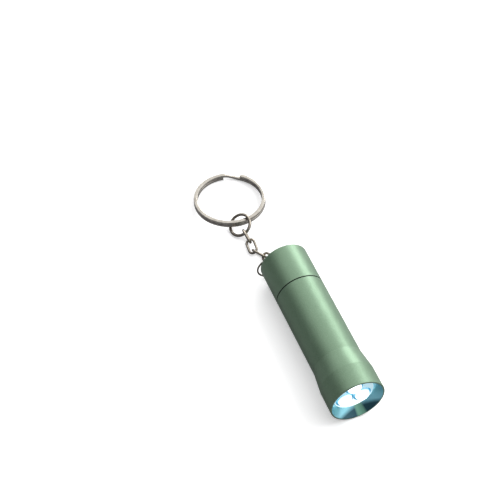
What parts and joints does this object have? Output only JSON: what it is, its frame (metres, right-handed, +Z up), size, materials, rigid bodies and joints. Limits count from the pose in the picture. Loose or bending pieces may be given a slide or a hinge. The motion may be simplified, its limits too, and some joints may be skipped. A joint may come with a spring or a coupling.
{
  "type": "keychain flashlight",
  "caption": "Small round metal torch with a screwed tail cap, flared head, recessed LED lamp, and a short link chain with a split key ring on its tail.",
  "frame": {"origin": "centre of the bottom of the overall box, on the surface the torch lies on", "axes": "+Z up, +Y from the lamp towards the tail and the chain, lamp end at -Y; the torch axis rises by 1 degree towards the lamp because the head is wider"},
  "size_m": [0.026, 0.106, 0.0179],
  "materials": {
    "green_anodise": "bead-blasted, green anodised, satin",
    "nickel_plate": "nickel plated, polished",
    "nickel_wire": "nickel plated wire",
    "spring_steel": "plain spring wire",
    "seal_rubber": "matt",
    "white_reflector": "gloss white moulding",
    "led_epoxy": "clear epoxy",
    "tinned_legs": "tinned",
    "circuit_board": "solder mask",
    "chip_ceramic": "matt ceramic",
    "insulator_plastic": "natural moulding",
    "cradle_plastic": "matt moulding",
    "brass_contact": "stamped",
    "cell_can": "nickel plated can"
  },
  "bodies": {
    "cap": {"tail_cap": "green_anodise", "tail_contact_plate": "nickel_plate", "tail_spring": "spring_steel"},
    "battery_pack": {"battery_cradle": "cradle_plastic", "cradle_rear_contact": "brass_contact", "cradle_front_contact": "brass_contact", "cell_1": "cell_can", "cell_2": "cell_can", "cell_3": "cell_can", "cell_4": "cell_can"},
    "barrel_unit": {"barrel": "green_anodise", "cap_o_ring": "seal_rubber", "led_reflector": "white_reflector", "led_1": "led_epoxy", "led_2": "led_epoxy", "led_3": "led_epoxy", "led_leads": "tinned_legs", "led_board": "circuit_board", "board_resistor": "chip_ceramic", "front_contact_spring": "spring_steel", "insulating_ring": "insulator_plastic"},
    "tail_ring": {"tail_jump_ring": "nickel_wire"},
    "link_1": {"chain_link_1": "nickel_wire"},
    "link_2": {"chain_link_2": "nickel_wire"},
    "link_3": {"chain_link_3": "nickel_wire"},
    "link_4": {"chain_link_4": "nickel_wire"},
    "link_5": {"chain_link_5": "nickel_wire"},
    "connector": {"connector_ring": "nickel_wire"},
    "key_ring": {"split_ring": "nickel_plate"}
  },
  "joints": [
    {"name": "pack_slide", "type": "slide", "parent": "cap", "child": "battery_pack", "axis": [0, -0.9998, 0.0176], "range_m": [0, 0.005]},
    {"name": "barrel_twist", "type": "hinge", "parent": "battery_pack", "child": "barrel_unit", "pos_m": [0.00409, 0.00514, 0.00799], "axis": [0, -0.9998, 0.0176], "range_deg": [0, 1800]},
    {"name": "tail_ring_swing", "type": "hinge", "parent": "cap", "child": "tail_ring", "pos_m": [0.00409, 0.00649, 0.00797], "axis": [0.6428, 0, -0.766], "range_deg": [-2, 85]},
    {"name": "link_1_swing", "type": "hinge", "parent": "tail_ring", "child": "link_1", "pos_m": [0.00405, 0.0067, 0.00194], "axis": [0.6532, -0.0517, 0.7554], "range_deg": [-45, 45]},
    {"name": "link_2_swing", "type": "hinge", "parent": "link_1", "child": "link_2", "pos_m": [0.00299, 0.0108, 0.0023], "axis": [0.5758, 0.2162, -0.7884], "range_deg": [-50, 50]},
    {"name": "link_3_swing", "type": "hinge", "parent": "link_2", "child": "link_3", "pos_m": [0.00084, 0.01427, 0.00176], "axis": [0.5523, 0.4511, 0.7011], "range_deg": [-50, 50]},
    {"name": "link_4_swing", "type": "hinge", "parent": "link_3", "child": "link_4", "pos_m": [-0.00128, 0.01779, 0.00148], "axis": [-0.518, -0.2461, 0.8192], "range_deg": [-50, 50]},
    {"name": "link_5_swing", "type": "hinge", "parent": "link_4", "child": "link_5", "pos_m": [-0.00118, 0.02185, 0.0022], "axis": [-0.8725, 0.1048, -0.4773], "range_deg": [-50, 50]},
    {"name": "connector_swing", "type": "hinge", "parent": "link_5", "child": "connector", "pos_m": [-0.00141, 0.02595, 0.00247], "axis": [-0.4124, -0.0827, 0.9072], "range_deg": [-50, 50]},
    {"name": "key_ring_swing", "type": "hinge", "parent": "connector", "child": "key_ring", "pos_m": [-0.00263, 0.0294, 0.00302], "axis": [-0.9865, 0.1636, 0.0035], "range_deg": [0, 110]}
  ],
  "couplings": [
    {"joint": "barrel_twist", "follows": "pack_slide", "rad_per_m": 6283.2}
  ]
}
